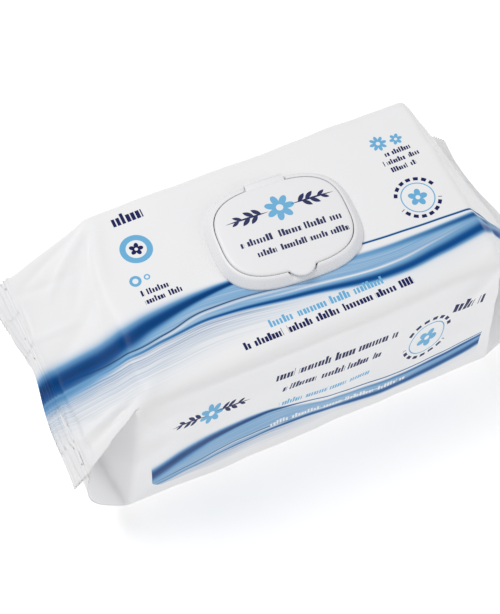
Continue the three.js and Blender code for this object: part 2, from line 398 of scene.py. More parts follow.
def make_band_group():
    """A band of flowing blue strands: a core that thins out to the right, a fine twin line under it, and a
    lower strand that swells to the right. Turn goes from 0 at the band's left to 1 at its right."""
    takes = [(n, NUMBER) for n in ("X", "Y", "Core", "Twin", "Low", "Turn", "Left Trail", "Right Trail")]
    takes += [("Paper", COLOUR), ("Deep", COLOUR), ("Pale", COLOUR)]
    tree, wire, out = group("Flowing band", takes, [("Color", COLOUR)])
    x, y, core, twin, low, turn = (wire[n] for n in ("X", "Y", "Core", "Twin", "Low", "Turn"))
    right = turn.ease(0.5, 0.9)
    left = right.flip()
    middle = core - (core - low) * 0.3

    place = tree.nodes.new("ShaderNodeCombineXYZ")
    join(tree, x * 0.012, place.inputs["X"])
    join(tree, (y - low) * 0.9, place.inputs["Y"])
    fibres = tree.nodes.new("ShaderNodeTexNoise")
    fibres.noise_dimensions = "2D"
    fibres.inputs["Scale"].default_value = 1.3
    fibres.inputs["Detail"].default_value = 2.0
    join(tree, place.outputs[0], fibres.inputs["Vector"])
    streak = Wire(tree, fibres.outputs["Fac"]).ease(0.3, 0.7)

    trail_length = wire["Left Trail"] + (wire["Right Trail"] - wire["Left Trail"]) * turn.ease(0.1, 0.8)
    below = (low - y) / trail_length
    trail = below.flip().sum("MAXIMUM", 0.0) ** 1.4 * (y < low)
    trail = trail * (left * 0.62 + 0.2) * (streak * left * 0.75 + right * 0.5 + 0.25)
    shown = mixed(tree, trail, wire["Paper"], mixed(tree, trail * left, wire["Pale"], wire["Deep"]))

    ceiling = core * left + middle * right
    body = (y - ceiling).ease(1.2, -1.2) * (y > low) * (streak * 0.2 + 0.72)
    shown = mixed(tree, body, shown, wire["Pale"])
    depth = (low - y + 9.0).ease(0.0, 9.0) * (y > low) * right * turn.ease(0.9, 1.5) * 0.6
    shown = mixed(tree, depth, shown, wire["Deep"])

    soft_middle = strand(tree, y, middle, 1.6, 2.2, right * (turn.ease(0.9, 1.5) * 0.5 + 0.45))
    shown = inked(tree, soft_middle, shown, wire["Pale"], wire["Deep"])
    spare = turn.ease(0.05, 0.75).flip()
    early = turn.ease(0.4, -0.2)
    wide = strand(tree, y, core, spare * 6.5 + 0.55, spare * 4.0 + early * 6.0 + 0.5, 1.05)
    shown = inked(tree, wide, shown, wire["Pale"], wire["Deep"])
    dark = tree.nodes.new("ShaderNodeVectorMath")
    dark.operation = "SCALE"
    join(tree, wire["Deep"], dark.inputs[0])
    dark.inputs["Scale"].default_value = 0.45
    heart = strand(tree, y, core, spare * 2.0 + 0.3, spare * 1.6 + 0.3, 0.6)
    shown = mixed(tree, heart, shown, dark.outputs[0])

    light_line = strand(tree, y, twin - 1.3, 0.8, 0.7, left * turn.ease(0.1, 0.3) * 0.6)
    shown = mixed(tree, light_line, shown, wire["Paper"])
    dark_line = strand(tree, y, twin, 0.5, 0.35, left * turn.ease(-0.2, 0.15) * 0.95)
    shown = mixed(tree, dark_line, shown, dark.outputs[0])
    swell = turn.ease(0.3, 1.5)
    lower = strand(tree, y, low, swell * 3.6 + 0.9, swell * 2.2 + 0.8, turn.ease(-0.1, 0.6) * 0.5 + 0.48)
    shown = inked(tree, lower, shown, wire["Pale"], wire["Deep"])
    gleam = strand(tree, y, low + swell * 4.0 + 2.0, 0.7, 0.5, right * turn.ease(1.35, 1.0) * 0.85)
    shown = mixed(tree, gleam, shown, wire["Paper"])
    join(tree, shown, out.inputs["Color"])


def make_film_grain_group():
    """Fine unevenness of film: a slight change of gloss and a low bump height."""
    takes = [("Place", ARROW), ("Scale", NUMBER)]
    tree, wire, out = group("Film grain", takes, [("Gloss", NUMBER), ("Height", NUMBER)])
    cloudy = tree.nodes.new("ShaderNodeTexNoise")
    cloudy.inputs["Detail"].default_value = 4.0
    join(tree, wire["Place"], cloudy.inputs["Vector"])
    join(tree, wire["Scale"], cloudy.inputs["Scale"])
    fine = tree.nodes.new("ShaderNodeTexNoise")
    join(tree, wire["Place"], fine.inputs["Vector"])
    join(tree, wire["Scale"] * 9.0, fine.inputs["Scale"])
    join(tree, Wire(tree, cloudy.outputs["Fac"]) * 0.16 - 0.08, out.inputs["Gloss"])
    height = Wire(tree, cloudy.outputs["Fac"]) + Wire(tree, fine.outputs["Fac"]) * 0.15
    join(tree, height, out.inputs["Height"])


def blank_material(name):
    material = bpy.data.materials.new(name)
    material.use_nodes = True
    tree = material.node_tree
    return material, tree, tree.nodes["Principled BSDF"]


def bumped(tree, shader, height, distance, strength=0.5):
    bump = tree.nodes.new("ShaderNodeBump")
    bump.inputs["Distance"].default_value = distance * MM
    bump.inputs["Strength"].default_value = strength
    join(tree, height, bump.inputs["Height"])
    join(tree, bump.outputs["Normal"], shader.inputs["Normal"])


def axes(tree, source):
    """A coordinate in metres as X, Y and Z wires in millimetres."""
    split = tree.nodes.new("ShaderNodeSeparateXYZ")
    join(tree, source, split.inputs[0])
    return [Wire(tree, socket) * 1000.0 for socket in split.outputs]


def stamped(tree, under, ink, marks):
    """A colour with several masks printed over it in one ink."""
    total = marks[0]
    for mark in marks[1:]:
        total = total.sum("MAXIMUM", mark)
    return mixed(tree, total, under, ink)


def words(tree, x, y, start, base, length, height):
    made = use(tree, "Word line", X=x, Y=y, Start=start, Base=base, Length=length, Height=height)
    return Wire(tree, made["Mask"])


def ring(tree, x, y, cx, cy, radius, width, dashes):
    made = use(tree, "Ring", X=x, Y=y, Centre_X=cx, Centre_Y=cy, Radius=radius, Width=width, Dashes=dashes)
    return Wire(tree, made["Mask"])


def petals(tree, x, y, cx, cy, radius, count):
    made = use(tree, "Petals", X=x, Y=y, Centre_X=cx, Centre_Y=cy, Radius=radius, Petals=count)
    return Wire(tree, made["Mask"])


def film_material(look):
    """White laminate with the printed band, on coordinates that follow the film as it was before wrapping."""
    material, tree, shader = blank_material("printed film")
    flat = tree.nodes.new("ShaderNodeUVMap")
    flat.uv_map = "flat film"
    x, y, _ = axes(tree, flat.outputs["UV"])
    paper, deep, pale = colour(look.film), colour(look.band_deep), colour(look.band_pale)
    navy, sky = colour(look.ink_navy), colour(look.ink_sky)

    core = traced(tree, x, [(-158, -1), (-134, -6), (-110, -13.8), (-98, -17.6), (-87, -19.3), (-72, -16.4),
                            (-52, -13.3), (-32, -11.3), (5, -13), (40, -17.2), (99, -20.9), (150, -24)])
    twin = traced(tree, x, [(-158, -3), (-134, -8.5), (-120, -13.5), (-110, -18), (-98, -22.8), (-87, -25.6),
                            (-68, -23.8), (-48, -20), (-8, -23), (30, -33), (150, -40)])
    low = traced(tree, x, [(-158, -8), (-134, -13), (-120, -17.5), (-110, -21), (-98, -25.5), (-87, -28),
                           (-70, -26.6), (-45, -24.8), (-1, -30.4), (49, -37.5), (72, -35.8), (101, -32),
                           (150, -26)])
    on_top = use(tree, "Flowing band", X=x, Y=y, Core=core, Twin=twin, Low=low, Turn=(x + 110.0) / 150.0,
                 Left_Trail=25.0, Right_Trail=13.0, Paper=paper, Deep=deep, Pale=pale)["Color"]

    core = traced(tree, x, [(-100, -141), (-88, -134), (-64, -121.5), (-36, -117), (-9, -121), (20, -128.8),
                            (49, -132.2), (72, -130.5), (100, -124)])
    twin = traced(tree, x, [(-100, -150), (-88, -146.5), (-64, -138.5), (-36, -133), (-8, -138), (30, -147),
                            (100, -155)])
    low = traced(tree, x, [(-100, -153), (-88, -149.5), (-64, -142.5), (-36, -138), (-8, -139.5),
                           (21, -144.5), (51, -146.5), (81, -141), (100, -134)])
    on_side = use(tree, "Flowing band", X=x, Y=y, Core=core, Twin=twin, Low=low, Turn=(x + 84.0) / 110.0,
                  Left_Trail=16.0, Right_Trail=18.0, Paper=paper, Deep=deep, Pale=pale)["Color"]
    row = words(tree, x, y - low, -25.0, 3.0, 78.0, 4.2)
    on_side = mixed(tree, row * 0.9, on_side, paper)
    corner = 6.0
    middle_x, half_x = 3.0, 93.5
    over = ((x - middle_x).size() - (half_x - corner)).sum("MAXIMUM", 0.0)
    under = ((y * -1.0) - (151.0 - corner)).sum("MAXIMUM", 0.0)
    panel = ((over ** 2.0 + under ** 2.0) < corner ** 2) * (y < -90.0)
    printed = mixed(tree, (y > -60.0) * (y < 53.0), paper, on_top)
    printed = mixed(tree, panel, printed, on_side)

    fx = x - (y + 110.0) * FRONT_PRINT_LEAN
    fy = (y + x * FRONT_PRINT_FALL) / FRONT_PRINT_STRETCH
    dark = [
        words(tree, x, y, -37.0, -47.0, 89.0, 4.2),
        words(tree, x, y, -69.8, -0.8, 15.5, 3.2),
        words(tree, x, y, -70.5, -5.6, 19.5, 3.2),
        words(tree, x, y, -67.5, 40.5, 16.0, 6.5),
        words(tree, x, y, 72.5, 23.2, 14.0, 2.9),
        words(tree, x, y, 69.5, 18.4, 19.5, 2.9),
        words(tree, x, y, 71.5, 13.6, 13.5, 2.9),
        words(tree, fx, fy, -27.0, -53.6, 67.0, 4.5),
        words(tree, fx, fy, -21.0, -63.0, 55.0, 4.2),
        words(tree, fx, fy, 70.5, -50.6, 17.5, 6.8),
        *sprig(tree, fx, fy, -72.0, -59.2, 9.5, -1),
        *sprig(tree, fx, fy, -49.0, -58.2, 9.5, 1),
        ring(tree, x, y, 76.0, -4.5, 11.0, 1.9, 17.0),
        ring(tree, fx, fy, 60.5, -62.0, 12.0, 1.8, 17.0),
        petals(tree, x, y, -62.2, 24.7, 3.6, 5.0),
    ]
    light = [
        words(tree, x, y, -23.0, -40.8, 62.0, 4.2),
        words(tree, fx, fy, -20.0, -73.4, 51.0, 3.3),
        ring(tree, x, y, -62.2, 24.7, 6.6, 3.0, 0.0),
        ring(tree, x, y, -69.6, 8.2, 2.2, 1.5, 0.0),
        ring(tree, x, y, -63.6, 8.2, 1.2, 0.7, 0.0),
        petals(tree, x, y, 72.5, 32.0, 4.6, 8.0),
        petals(tree, x, y, 82.0, 31.0, 3.4, 6.0),
        petals(tree, x, y, 76.0, -4.5, 5.0, 5.0),
        ring(tree, x, y, 76.0, -4.5, 8.4, 0.6, 0.0),
        petals(tree, fx, fy, 60.5, -62.0, 5.5, 5.0),
        ring(tree, fx, fy, 60.5, -62.0, 9.4, 0.6, 0.0),
        petals(tree, fx, fy, -60.5, -58.7, 6.2, 7.0),
    ]
    printed = stamped(tree, printed, sky, light)
    printed = stamped(tree, printed, navy, dark)
    grain = use(tree, "Film grain", Place=flat.outputs["UV"], Scale=45.0)
    join(tree, printed, shader.inputs["Base Color"])
    join(tree, Wire(tree, grain["Gloss"]) + 0.36, shader.inputs["Roughness"])
    shader.inputs["Specular IOR Level"].default_value = 0.09
    shader.inputs["Coat Weight"].default_value = 0.025
    shader.inputs["Coat Roughness"].default_value = 0.18
    bumped(tree, shader, Wire(tree, grain["Height"]), 0.35, 0.35)
    return material


def lid_axes(x, y):
    """Turns the wires X and Y into places along and across the flip-top, from its middle."""
    x, y = x - LID_CENTRE.x, y - LID_CENTRE.y
    c, s = math.cos(LID_TURN), math.sin(LID_TURN)
    return x * c + y * s, y * c - x * s


def plastic_material(look, name, printed):
    """White moulded plastic, with a small plain print on the lid."""
    material, tree, shader = blank_material(name)
    source = tree.nodes.new("ShaderNodeTexCoord").outputs["Object"]
    x, y, z = axes(tree, source)
    paint = colour(look.moulding.plastic)
    if printed:
        x, y = lid_axes(x, y)
        navy, sky = colour(look.wrap.ink_navy), colour(look.wrap.ink_sky)
        bare = paint
        paint = stamped(tree, paint, sky, [
            petals(tree, x, y, 1.5, 9.5, 7.5, 7.0),
        ])
        paint = stamped(tree, paint, navy, [
            words(tree, x, y, -24.0, -6.2, 52.0, 3.8),
            words(tree, x, y, -18.0, -13.4, 47.0, 3.4),
            *sprig(tree, x, y, -15.5, 9.0, 11.5, -1),
            *sprig(tree, x, y, 18.5, 9.5, 11.5, 1),
        ])
        paint = mixed(tree, z > HEIGHT + LID_PRINT_FLOOR, bare, paint)
        join(tree, paint, shader.inputs["Base Color"])
    else:
        cloud = use(tree, "Film grain", Place=source, Scale=60.0)
        darker = tuple(0.94 * c for c in look.moulding.plastic)
        clouded = mixed(tree, Wire(tree, cloud["Gloss"]) + 0.08, paint, colour(darker))
        join(tree, clouded, shader.inputs["Base Color"])
    grain = use(tree, "Film grain", Place=source, Scale=260.0)
    join(tree, Wire(tree, grain["Gloss"]) + 0.4, shader.inputs["Roughness"])
    bumped(tree, shader, Wire(tree, grain["Height"]), 0.05, 0.25)
    return material


def label_material(look):
    """Pale blue label film with a dashed tear line round its middle."""
    material, tree, shader = blank_material("label film")
    source = tree.nodes.new("ShaderNodeTexCoord").outputs["Object"]
    x, y, _ = axes(tree, source)
    x, y = lid_axes(x, y)
    far = ((x / 19.0).size() ** 3.0 + (y / 12.0).size() ** 3.0) ** (1 / 3)
    dashes = (y.sum("ARCTAN2", x) * 14.0).sum("SINE") > -0.3
    tear_line = (far - 1.0).size().ease(0.05, 0.03) * dashes
    paint = mixed(tree, tear_line, colour(look.label), colour((0.9, 0.93, 0.97)))
    grain = use(tree, "Film grain", Place=source, Scale=140.0)
    join(tree, paint, shader.inputs["Base Color"])
    join(tree, Wire(tree, grain["Gloss"]) + 0.34, shader.inputs["Roughness"])
    bumped(tree, shader, Wire(tree, grain["Height"]), 0.1, 0.3)
    return material


def finished(name, bm, material, body, node):
    """Turns a bmesh in millimetres into a piece that stands for a node and rides with its body."""
    bmesh.ops.scale(bm, vec=(MM, MM, MM), verts=bm.verts)
    mesh = bpy.data.meshes.new(name)
    bm.to_mesh(mesh)
    bm.free()
    mesh.polygons.foreach_set("use_smooth", [True] * len(mesh.polygons))
    mesh.materials.append(material)
    piece = bpy.data.objects.new(name, mesh)
    bpy.context.scene.collection.objects.link(piece)
    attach(piece, body)
    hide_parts(node)
    return piece


def steps(low, high, count):
    return [low + (high - low) * i / count for i in range(count + 1)]


def rounding(distance, radius):
    """How far a point at some distance from a corner moves in from it along both sides."""
    return radius / 4 * max(0.0, 1 - distance / radius) ** 2


def crease_x(side, y):
    if side > 0:
        return RIGHT_CREASE_X
    return LEFT_CREASE_X - LEFT_CREASE_SKEW * y / HALF


def root_point(side, y):
    skew = RIGHT_ROOT_SKEW if side > 0 else LEFT_ROOT_SKEW
    return Vector((side * ROOT_X, y, ROOT_Z + skew * y / HALF))


def seal_droop(side, y):
    """How far the seal hangs down from level; the left one hangs most at its middle."""
    if side > 0:
        return RIGHT_DROOP + 0.12 * math.sin(y / 19 + 1)
    return LEFT_DROOP + LEFT_DROOP_SWELL * math.cos(math.pi * y / WIDTH) + 0.08 * math.sin(y / 9)


def wrap_point(side, share, flap, seal, around):
    """Where a point of the flat film goes. Share runs along the body from end to end, flap from a crease to
    the seal's root, seal out along the seal, and around from the middle of the underside up the front."""
    upper = FRONT_TOP <= around <= BACK_TOP
    lower = around <= HALF or around >= AROUND - HALF
    if upper:
        y, rise = around - FRONT_TOP - HALF, 1.0
    elif lower:
        y, rise = (-around if around <= HALF else AROUND - around), 0.0
    elif around < FRONT_TOP:
        y, rise = -HALF, (around - HALF) / HEIGHT
    else:
        y, rise = HALF, (AROUND - HALF - around) / HEIGHT
    face = math.copysign(1, y)
    start_top = Vector((side * crease_x(side, y), y, HEIGHT))
    start_low = Vector((side * BOTTOM_X, y, 0.0))
    root = root_point(side, y)

    if seal > 0:
        drop = seal_droop(side, y)
        out = Vector((side * math.cos(drop), 0, -math.sin(drop)))
        lift = Vector((side * math.sin(drop), 0, math.cos(drop)))
        thick = SEAL_HALF_THICKNESS * min(1.0, (SEAL_WIDTH - seal) / 1.0)
        return root + out * seal + lift * thick * (2 * rise - 1)
    if flap > 0:
        belly = BELLY * math.sin(math.pi * flap) * (1 - rise)
        top_point = start_top.lerp(root, flap)
        low_point = start_low.lerp(root, flap) + Vector((side * belly, 0, -0.4 * belly))
        if upper or lower:
            return top_point if upper else low_point
        tuck = root_point(side, face * (HALF - TUCK)) + Vector((-side * TUCK_SETBACK, 0, -TUCK_DROP))
        top_fold, low_fold = start_top.lerp(tuck, flap), start_low.lerp(tuck, flap)
        if rise > 1 - flap / 2:
            return top_point.lerp(top_fold, (1 - rise) / (flap / 2))
        if rise < flap / 2:
            return low_point.lerp(low_fold, rise / (flap / 2))
        return low_fold.lerp(top_fold, (rise - flap / 2) / (1 - flap))
    end_x = start_low.x + (start_top.x - start_low.x) * rise
    return Vector((share * abs(end_x), y, HEIGHT * rise))


def edge_softening(flap, around):
    """The move that rounds the long edges of the body, fading out along each flap."""
    nearest = min(abs(around - FRONT_TOP), abs(around - BACK_TOP))
    face = -1 if around < AROUND / 2 else 1
    move = Vector((0, -face, -1)) * rounding(nearest, TOP_EDGE_RADIUS) * (1 - flap)
    nearest = min(abs(around - HALF), abs(around - AROUND + HALF))
    move += Vector((0, -face, 1)) * rounding(nearest, BOTTOM_EDGE_RADIUS) * (1 - flap)
    return move


# Folds in the film: where each starts and ends on the flat film, its width, and its depth. A depth below zero
# is a ridge.
FOLDS = (
    ((-76, 50), (-92, -6), 4.5, -1.9),
    ((-76, 50), (-102, 16), 3.2, 1.4),
    ((-78, 48), (-112, 30), 3.0, -1.2),
    ((-80, 50), (-122, 44), 2.5, 0.9),
    ((-88, 10), (-128, -2), 5.0, 0.8),
    ((-134, 46), (-96, 30), 2.2, 0.5),
    ((-134, 20), (-104, 8), 1.8, -0.5),
    ((-134, -44), (-92, -47), 2.2, 0.9),
    ((-134, -38), (-100, -44), 1.8, -0.8),
    ((-132, -30), (-112, -42), 1.5, 0.5),
    ((-127, 50), (-130, 6), 1.3, -1.1),
    ((-130, 50), (-137, 12), 1.3, 1.2),
    ((-134, 52), (-144, 14), 1.2, -1.5),
    ((-138, 52), (-148, 12), 1.1, 1.5),
    ((-142, 50), (-150, 16), 1.0, -1.2),
    ((-131, -12), (-133, -52), 1.3, 1.0),
    ((-134, -16), (-137, -52), 1.2, -1.5),
    ((-138, -18), (-141, -52), 1.1, 1.5),
    ((-143, -22), (-145, -50), 1.0, -1.3),
    ((-128, 2), (-134, -24), 1.6, 0.8),
    ((-90, -52), (-74, -34), 4.0, -0.7),
    ((90, -50), (112, -30), 3.0, -0.8),
    ((96, 50), (120, 20), 3.0, 0.7),
    ((96, 20), (128, 12), 2.5, -0.6),
    ((98, -20), (132, -34), 2.5, 0.7),
    ((-93, -62), (-80, -90), 5.0, -1.6),
    ((-90, -70), (-70, -74), 6.0, -0.8),
    ((-96, -110), (-74, -96), 7.0, -0.9),
    ((-100, -158), (-70, -128), 5.0, 0.5),
    ((92, -62), (78, -84), 5.0, -1.3),
    ((98, -120), (70, -110), 7.0, -0.7),
    ((-60, -60), (40, -58), 3.0, -0.5),
    ((-40, 62), (50, 70), 6.0, -0.8),
    ((-94, 64), (-76, 100), 6.0, -1.3),
    ((94, 66), (80, 96), 6.0, -1.2),
)


def fold_depth(u, v):
    """The sum of the folds at a place on the flat film."""
    total = 0.0
    for (au, av), (bu, bv), width, depth in FOLDS:
        du, dv = bu - au, bv - av
        along = ((u - au) * du + (v - av) * dv) / (du * du + dv * dv)
        if not -0.3 < along < 1.3:
            continue
        kept = max(0.0, min(1.0, along))
        away = math.hypot(u - au - kept * du, v - av - kept * dv)
        if away < 3 * width:
            total += depth * math.exp(-((away / width) ** 2)) * math.sin(math.pi * (0.12 + 0.76 * kept))
    return total * FOLD_STRENGTH


def film_relief(u, v, seal, look):
    """How far the film stands out of its plain shape: crimps on the seals, a fin seam underneath, and folds
    and slack elsewhere, which die out round the flip-top."""
    if seal > 0:
        band = min(1.0, seal / 2, (SEAL_WIDTH - seal) / 2)
        shift = 0.9 if abs(v) % CRIMP_BREAK < CRIMP_BREAK / 2 else 0.0
        return look.crimp / MM * math.sin(2 * math.pi * (seal + shift) / CRIMP_PITCH) * band
    near_lid = ((u - LID_CENTRE.x) / CALM_HALF_LENGTH) ** 4 + ((v - LID_CENTRE.y) / CALM_HALF_DEPTH) ** 4
    calm = min(1.0, max(0.0, near_lid - 1.0))
    slack = noise.noise(Vector((u / 34, v / 26, 3.1))) * SLACK_WIDE
    slack += noise.noise(Vector((u / 11, v / 13, 8.7))) * SLACK_FINE
    underside = abs(v) > HALF + HEIGHT
    if underside:
        lift = 0.0 if FIN_LOW < v < FIN_HIGH else UNDERSIDE_LIFT
        return lift - 0.03 * slack
    return look.crumple * calm * (SLACK_LIFT - slack - fold_depth(u, v))


def build_film_wrap(look):
    along = [(-1, -1, 1, w) for w in steps(SEAL_WIDTH, 0.5, 29)]
    along += [(-1, -1, t, 0) for t in steps(1, 0.028, 35)]
    along += [(math.copysign(1, f), f, 0, 0) for f in steps(-1, 1, 84)]
    along += [(1, 1, t, 0) for t in steps(0.028, 1, 35)]
    along += [(1, 1, 1, w) for w in steps(0.5, SEAL_WIDTH, 29)]
    around = steps(0, HALF, 54)[:-1] + steps(HALF, FRONT_TOP, 55)[:-1]
    around += steps(FRONT_TOP, BACK_TOP, 108)[:-1]
    around += steps(BACK_TOP, AROUND - HALF, 55)[:-1] + steps(AROUND - HALF, AROUND, 54)

    bm = bmesh.new()
    flat = bm.loops.layers.uv.new("flat film")
    bmesh.ops.create_grid(bm, x_segments=len(along) - 1, y_segments=len(around) - 1, size=1)
    spots = {}
    for vert in bm.verts:
        side, share, flap, seal = along[round((vert.co.x + 1) / 2 * (len(along) - 1))]
        spots[vert] = (side, share, flap, seal, around[round((vert.co.y + 1) / 2 * (len(around) - 1))])
    places = {}
    for vert, (side, share, flap, seal, arc) in spots.items():
        vert.co = wrap_point(side, share, flap, seal, arc) + edge_softening(flap, arc)
        v = arc - AROUND / 2
        plain = wrap_point(side, share, 0, 0, arc).x
        places[vert] = (plain + side * (flap * FLAP_LENGTH + seal), v)
    for face in bm.faces:
        for loop in face.loops:
            u, v = places[loop.vert]
            loop[flat].uv = (u * MM, v * MM)
    relief = {vert.index: (spots[vert][3], *places[vert]) for vert in bm.verts}
    soft = [v for v in bm.verts if spots[v][3] == 0 and not v.is_boundary]
    softer = [v for v in soft if spots[v][1] < -0.9 and v.co.z > HEIGHT / 2]
    for verts, rounds in ((soft, SOFT_ROUNDS), (softer, SOFTER_ROUNDS)):
        for _ in range(rounds):
            bmesh.ops.smooth_vert(
                bm, verts=verts, factor=0.5, use_axis_x=True, use_axis_y=True, use_axis_z=True)
    bm.normal_update()
    highest = max(bm.verts, key=lambda v: v.co.z)
    outward = math.copysign(1.0, highest.normal.z)
    lengths = {}
    for vert in bm.verts:
        seal, u, v = relief[vert.index]
        if seal > 0:
            side, _, _, _, arc = spots[vert]
            y = vert.co.y
            drop = seal_droop(side, y)
            direction = Vector((side * math.sin(drop), 0, math.cos(drop)))
            wave = 1.6 * math.sin(y / 13 + 2 * side) * (seal / SEAL_WIDTH) ** 2
            if seal >= SEAL_WIDTH and round(y) % 2:
                vert.co -= Vector((side * math.cos(drop), 0, -math.sin(drop))) * 1.1
            pleats = look.crumple * fold_depth(u, y) * min(1.0, seal / 2)
            lengths[vert] = direction * (film_relief(u, y, seal, look) + wave - pleats)
        else:
            lengths[vert] = vert.normal * outward * film_relief(u, v, 0, look)
    for vert, move in lengths.items():
        vert.co += move
        vert.co.z = max(vert.co.z, 0.0)
    bmesh.ops.remove_doubles(bm, verts=bm.verts, dist=0.02)
    bmesh.ops.recalc_face_normals(bm, faces=bm.faces)
    return bm


class PACK_OT_film_wrap(bpy.types.Operator):
    """Wrap the gusseted, crimped and printed film round the stack"""
    bl_idname = "pack.film_wrap"
    bl_label = "Film Wrap"

    def execute(self, context):
        look = context.scene.wipes_wrap
        bm = build_film_wrap(look)
        finished("film_wrap", bm, film_material(look), "pack", "film_pack")
        return {"FINISHED"}


def swept(section, segments=480):
    """Spins a section, given as (inset from the frame's edge, height), and squares its circles to the
    flip-top's outline."""
    bm = bmesh.new()
    points = [bm.verts.new((HALF_LENGTH - inset, 0, height)) for inset, height in section]
    edges = [bm.edges.new(pair) for pair in zip(points, points[1:])]
    bmesh.ops.spin(bm, geom=points + edges, angle=2 * math.pi, steps=segments, axis=(0, 0, 1),
                   cent=(0, 0, 0), use_merge=True)
    bmesh.ops.remove_doubles(bm, verts=bm.verts, dist=1e-4)
    for vert in bm.verts:
        radius = math.hypot(vert.co.x, vert.co.y)
        if radius < 1e-5:
            continue
        depth = HALF_DEPTH * (radius / HALF_LENGTH) ** (HALF_LENGTH / HALF_DEPTH)
        cx, cy = vert.co.x / radius, vert.co.y / radius
        reach = (abs(cx / radius) ** CORNER_POWER + abs(cy / depth) ** CORNER_POWER) ** (-1 / CORNER_POWER)
        vert.co.x, vert.co.y = cx * reach, cy * reach
    return bm


def filleted(corners, pieces=4):
    """A section's corners, given as (inset, height, radius), each rounded by a short curve."""
    done = []
    for i, (x, z, radius) in enumerate(corners):
        here = Vector((x, z))
        if radius <= 0 or i in (0, len(corners) - 1):
            done.append((x, z))
            continue
        sides = []
        for nx, nz, _ in (corners[i - 1], corners[i + 1]):
            away = Vector((nx, nz)) - here
            sides.append(here + away.normalized() * min(radius, away.length * 0.49))
        for t in steps(0, 1, pieces):
            point = sides[0] * (1 - t) ** 2 + here * 2 * t * (1 - t) + sides[1] * t ** 2
            done.append((point.x, point.y))
    return done


def tab_centre_y():
    return -HALF_DEPTH + TAB_SETBACK + TAB_RADIUS


def near_tab(x, y, radius):
    """How far inside a round zone about the finger tab a point lies, and below zero outside it."""
    return radius - math.hypot(x, y - tab_centre_y())


def build_lid_frame():
    rim_inner = RIM_INSET + RIM_THICKNESS
    corners = [
        (rim_inner, FRAME_FOOT, 0), (0.0, FRAME_FOOT, 0.1), (0.0, 1.2, 0.5),
        (BORDER - 1.3, BORDER_TOP - 0.25, 1.2),
        (BORDER, BORDER_TOP, 0.35), (BORDER, RECESS_FLOOR, 0.3), (RIM_INSET, RECESS_FLOOR, 0.3),
        (RIM_INSET, RIM_TOP, 0.3), (rim_inner, RIM_TOP, 0.3), (rim_inner, FRAME_FOOT, 0),
    ]
    bm = swept(filleted(corners))
    for vert in bm.verts:
        x, y, z = vert.co
        deep = near_tab(x, y, SCOOP_RADIUS)
        if deep > 0 and -y > HALF_DEPTH * 0.8 and z > SCOOP_FLOOR:
            vert.co.z = z - (z - SCOOP_FLOOR) * min(1.0, deep / 0.6)
        if y > HALF_DEPTH * 0.8 and abs(x) < HINGE_HALF + 1.2 and z > RECESS_FLOOR:
            share = min(1.0, (HINGE_HALF + 1.2 - abs(x)) / 0.8)
            vert.co.z = z - (z - RECESS_FLOOR) * share
    bmesh.ops.recalc_face_normals(bm, faces=bm.faces)
    hinge_post_top = 4.95
    post_size = (2 * HINGE_HALF, 1.2, hinge_post_top - FRAME_FOOT)
    add_block(bm, (0, HALF_DEPTH - 0.85, (FRAME_FOOT + hinge_post_top) / 2), post_size, 0.25)
    catch_size = (12, 1.2, 3.2)
    add_block(bm, (0, -HALF_DEPTH + BORDER + 2.6, 2.1), catch_size, 0.4)
    return bm


def add_block(bm, centre, size, bevel):
    """A small moulded block with rounded edges."""
    made = bmesh.ops.create_cube(bm, size=1)["verts"]
    bmesh.ops.scale(bm, vec=size, verts=made)
    bmesh.ops.translate(bm, vec=centre, verts=made)
    edges = list(dict.fromkeys(edge for vert in made for edge in vert.link_edges))
    bmesh.ops.bevel(bm, geom=edges, offset=bevel, segments=2, profile=0.5, affect="EDGES", material=-1)


def set_in_place(bm):
    """Moves a piece of the flip-top from its own middle to its place on the pack."""
    bmesh.ops.rotate(bm, cent=(0, 0, 0), matrix=Matrix.Rotation(LID_TURN, 3, "Z"), verts=bm.verts)
    bmesh.ops.translate(bm, vec=LID_CENTRE, verts=bm.verts)


def build_flip_lid():
    edge = BORDER + SEAM
    skirt = edge + 1.2
    plug = RIM_INSET + RIM_THICKNESS + SEAM
    crown_foot = 6.0
    crown_rise = LID_CROWN - crown_foot
    crown = [(skirt + (HALF_LENGTH - skirt) * (1 - math.cos(t)), crown_foot + crown_rise * math.sin(t))
             for t in steps(0.12, math.pi / 2, 22)]
    corners = [
        (HALF_LENGTH, LID_UNDERSIDE, 0), (plug + 1.0, LID_UNDERSIDE, 0.4), (plug + 1.0, 2.3, 0.3),
        (plug, 2.3, 0.3), (plug, 4.6, 0.3), (skirt, 4.6, 0.3), (skirt, LID_SKIRT_FOOT, 0.25),
        (edge, LID_SKIRT_FOOT, 0.25), (edge, 5.5, 0.8), (edge + 1.0, 6.05, 0.5),
        *((inset, height, 0) for inset, height in crown[1:]),
    ]
    corners[-1] = (HALF_LENGTH, LID_CROWN, 0)
    bm = swept(filleted(corners))
    front = -HALF_DEPTH * ((HALF_LENGTH - edge) / HALF_LENGTH) ** (HALF_LENGTH / HALF_DEPTH)
    tongue = tab_centre_y()
    for vert in bm.verts:
        x, y, z = vert.co
        if y < front + 1.6 and abs(x) < TAB_RADIUS - 0.05:
            reach = tongue - math.sqrt(TAB_RADIUS ** 2 - x * x)
            share = min(1.0, max(0.0, (front + 1.6 - y) / 1.5))
            vert.co.y = y + min(0.0, reach - front) * share
            vert.co.z = max(z, 4.3)
    bmesh.ops.recalc_face_normals(bm, faces=bm.faces)
    hinge_leaf_size = (2 * HINGE_HALF, 4.9, 1.2)
    add_block(bm, (0, HALF_DEPTH - 4.1, 4.98), hinge_leaf_size, 0.3)
    return bm


